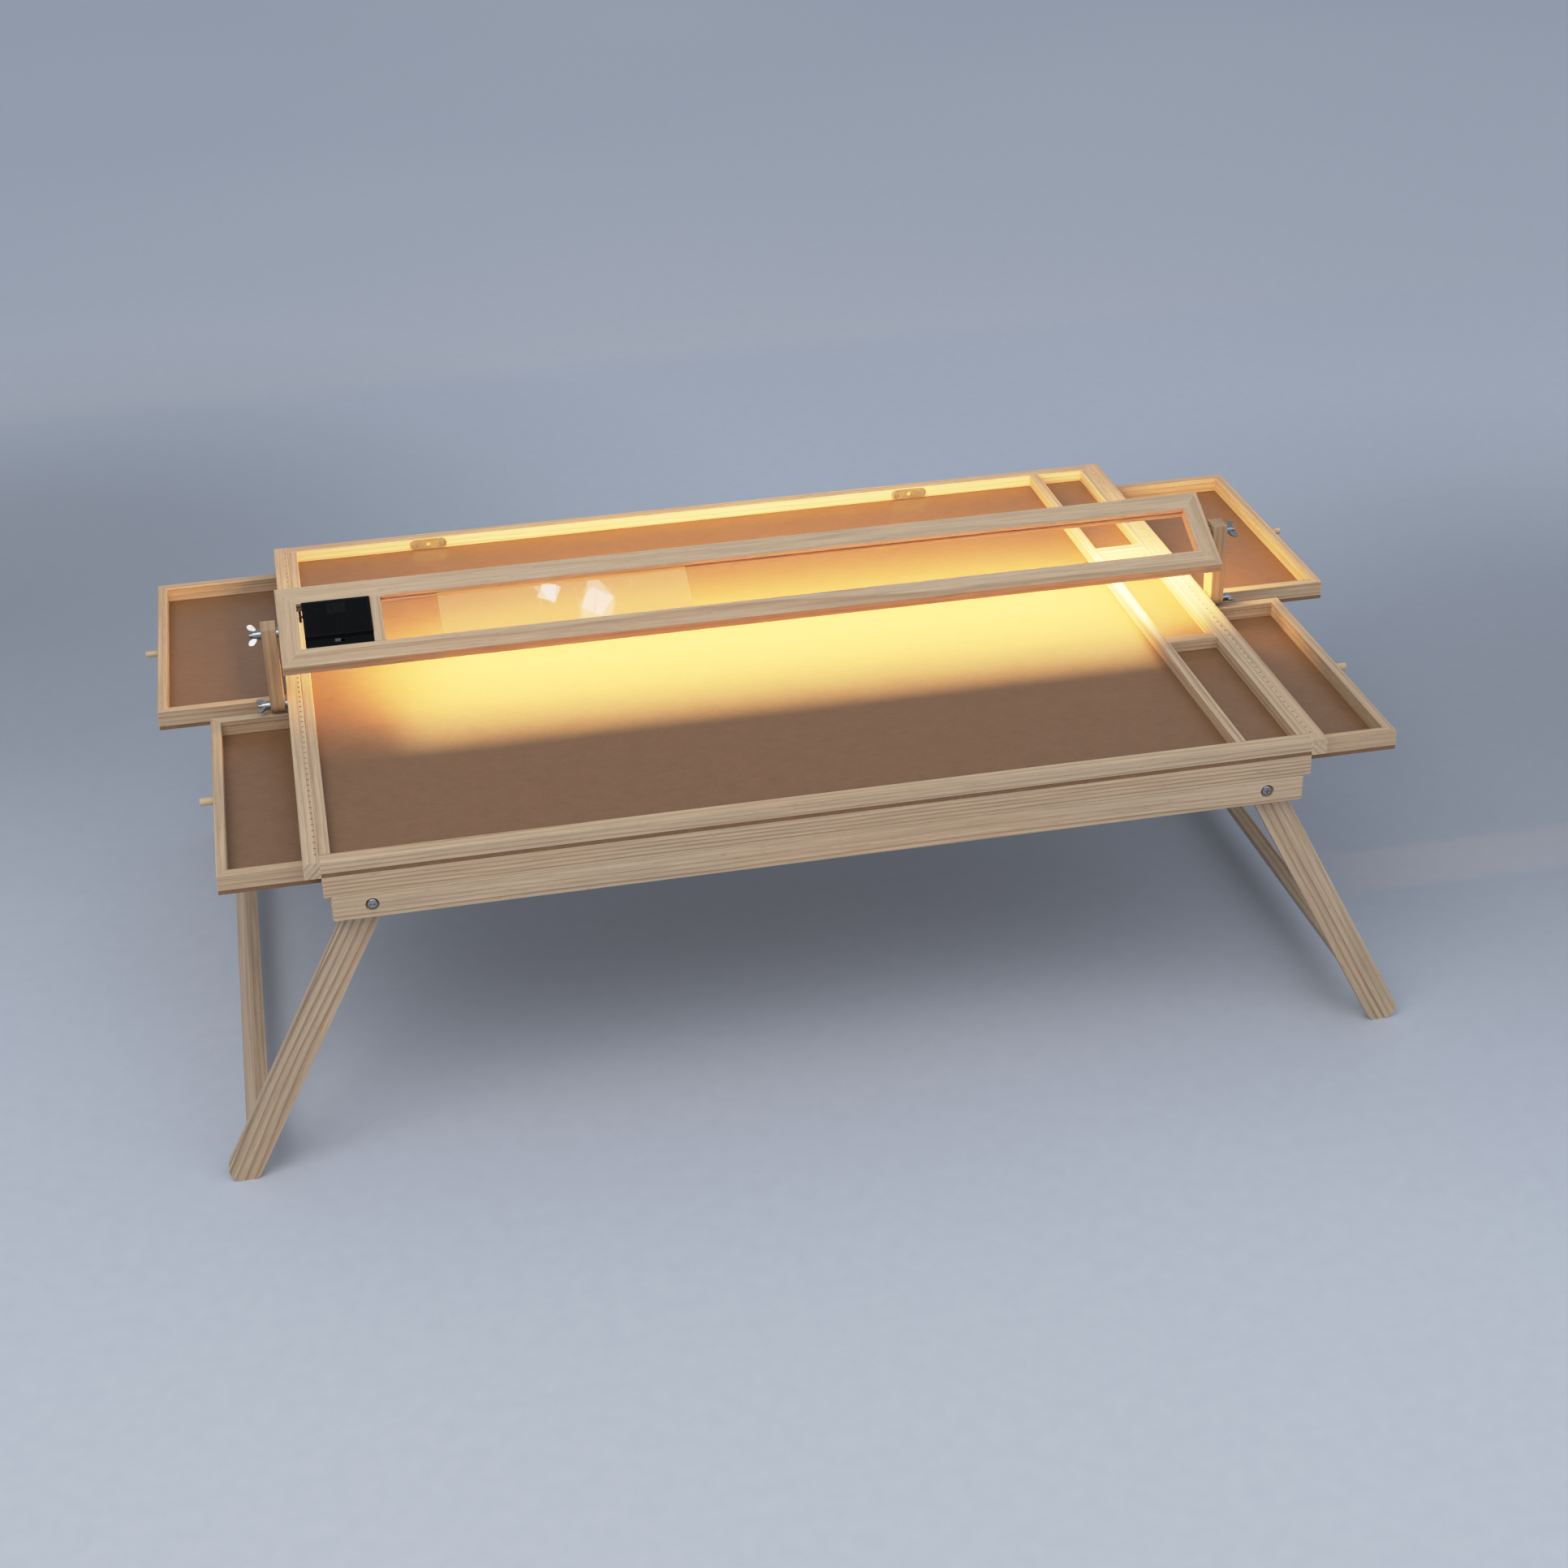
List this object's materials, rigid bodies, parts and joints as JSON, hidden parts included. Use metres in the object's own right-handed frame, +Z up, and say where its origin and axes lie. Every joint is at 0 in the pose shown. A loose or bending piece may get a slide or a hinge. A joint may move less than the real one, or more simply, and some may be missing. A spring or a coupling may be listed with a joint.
{
  "type": "folding craft table with light bar",
  "caption": "Low folding wooden craft table with a rimmed tray, side drawers, splayed folding legs and a tilting light bar holding a sliding clear magnifier sheet.",
  "frame": {"origin": "on the floor, under the middle of the tray", "axes": "+X to the user's right along the tray, +Y away from the user, +Z up"},
  "size_m": [1.141, 0.648, 0.3978],
  "materials": {
    "pine": "planed, clear matt",
    "leg_pine": "planed, clear matt",
    "peg_wood": "turned, bare",
    "hardboard": "pressed, smooth",
    "plate_steel": "nickel plated, bright",
    "bolt_steel": "zinc and chrome plated",
    "tape": "white flexible circuit",
    "led": "phosphor dome, warm white",
    "lead_plastic": "insulated wire",
    "black_plastic": "moulded, semi gloss",
    "switch_plastic": "moulded",
    "cell_can": "plain sleeve",
    "clear_sheet": "clear acrylic"
  },
  "bodies": {
    "table": {"tray_board": "hardboard", "rail_plates": "plate_steel", "plate_screws": "plate_steel", "leg_bolts": "bolt_steel", "leg_nuts": "bolt_steel", "post_bolts": "bolt_steel", "post_washers": "bolt_steel", "tray_front_rail": "pine", "tray_back_rail": "pine", "tray_left_rail": "pine", "tray_right_rail": "pine", "peg_strip_left": "pine", "peg_strip_right": "pine", "compartment_dividers": "pine", "carcass_rails": "pine", "front_apron": "pine", "back_apron": "pine", "drawer_spine": "pine", "drawer_guides": "pine", "cross_ties": "pine"},
    "drawer_front_left": {"drawer_front_left_walls": "pine", "drawer_front_left_board": "hardboard", "drawer_front_left_pull": "peg_wood"},
    "drawer_rear_left": {"drawer_rear_left_walls": "pine", "drawer_rear_left_board": "hardboard", "drawer_rear_left_pull": "peg_wood"},
    "drawer_front_right": {"drawer_front_right_walls": "pine", "drawer_front_right_board": "hardboard", "drawer_front_right_pull": "peg_wood"},
    "drawer_rear_right": {"drawer_rear_right_walls": "pine", "drawer_rear_right_board": "hardboard", "drawer_rear_right_pull": "peg_wood"},
    "left_legs": {"leg_front_left": "leg_pine", "leg_rear_left": "leg_pine", "stretcher_left": "leg_pine"},
    "right_legs": {"leg_front_right": "leg_pine", "leg_rear_right": "leg_pine", "stretcher_right": "leg_pine"},
    "posts": {"post_left": "pine", "post_right": "pine"},
    "light_bar": {"light_bar_front_rail": "pine", "light_bar_back_rail": "pine", "light_bar_left_rail": "pine", "light_bar_right_rail": "pine", "light_bar_cross_bar": "pine", "light_bar_bolts": "bolt_steel", "light_bar_washers": "bolt_steel", "led_tapes": "tape", "led_chips": "led", "led_leads": "lead_plastic", "battery_cradle": "hardboard", "battery_box": "black_plastic", "battery_lid": "black_plastic", "battery_cells": "cell_can"},
    "magnifier": {"magnifier_sheet": "clear_sheet"},
    "switch_knob": {"battery_switch": "switch_plastic"},
    "wing_nut_left_lower": {"wing_nut_left_lower": "bolt_steel"},
    "wing_nut_left_upper": {"wing_nut_left_upper": "bolt_steel"},
    "wing_nut_right_lower": {"wing_nut_right_lower": "bolt_steel"},
    "wing_nut_right_upper": {"wing_nut_right_upper": "bolt_steel"}
  },
  "joints": [
    {"name": "drawer_front_left_slide", "type": "slide", "parent": "table", "child": "drawer_front_left", "axis": [-1, 0, 0], "range_m": [-0.07, 0.23]},
    {"name": "drawer_rear_left_slide", "type": "slide", "parent": "table", "child": "drawer_rear_left", "axis": [-1, 0, 0], "range_m": [-0.117, 0.183]},
    {"name": "drawer_front_right_slide", "type": "slide", "parent": "table", "child": "drawer_front_right", "axis": [1, 0, 0], "range_m": [-0.075, 0.225]},
    {"name": "drawer_rear_right_slide", "type": "slide", "parent": "table", "child": "drawer_rear_right", "axis": [1, 0, 0], "range_m": [-0.13, 0.17]},
    {"name": "left_legs_fold", "type": "hinge", "parent": "table", "child": "left_legs", "pos_m": [-0.3835, 0, 0.265], "axis": [0, -1, 0], "range_deg": [0, 117.4]},
    {"name": "right_legs_fold", "type": "hinge", "parent": "table", "child": "right_legs", "pos_m": [0.3835, 0, 0.265], "axis": [0, 1, 0], "range_deg": [0, 117.4]},
    {"name": "post_swing", "type": "hinge", "parent": "table", "child": "posts", "pos_m": [0, -0.014, 0.302], "axis": [1, 0, 0], "range_deg": [-40, 40]},
    {"name": "light_bar_tilt", "type": "hinge", "parent": "posts", "child": "light_bar", "pos_m": [0, -0.014, 0.3726], "axis": [1, 0, 0], "range_deg": [-117, 63]},
    {"name": "magnifier_slide", "type": "slide", "parent": "light_bar", "child": "magnifier", "axis": [1, 0, 0], "range_m": [-0.0505, 0.4795]},
    {"name": "switch_slide", "type": "slide", "parent": "light_bar", "child": "switch_knob", "axis": [1, 0, 0], "range_m": [0, 0.0034]},
    {"name": "wing_nut_left_lower_turn", "type": "hinge", "parent": "table", "child": "wing_nut_left_lower", "pos_m": [-0.457, -0.014, 0.302], "axis": [-1, 0, 0], "range_deg": [-28, 28]},
    {"name": "wing_nut_left_upper_turn", "type": "hinge", "parent": "light_bar", "child": "wing_nut_left_upper", "pos_m": [-0.457, -0.014, 0.3726], "axis": [-1, 0, 0], "continuous": true},
    {"name": "wing_nut_right_lower_turn", "type": "hinge", "parent": "table", "child": "wing_nut_right_lower", "pos_m": [0.457, -0.014, 0.302], "axis": [1, 0, 0], "range_deg": [-28, 28]},
    {"name": "wing_nut_right_upper_turn", "type": "hinge", "parent": "light_bar", "child": "wing_nut_right_upper", "pos_m": [0.457, -0.014, 0.3726], "axis": [1, 0, 0], "continuous": true}
  ]
}
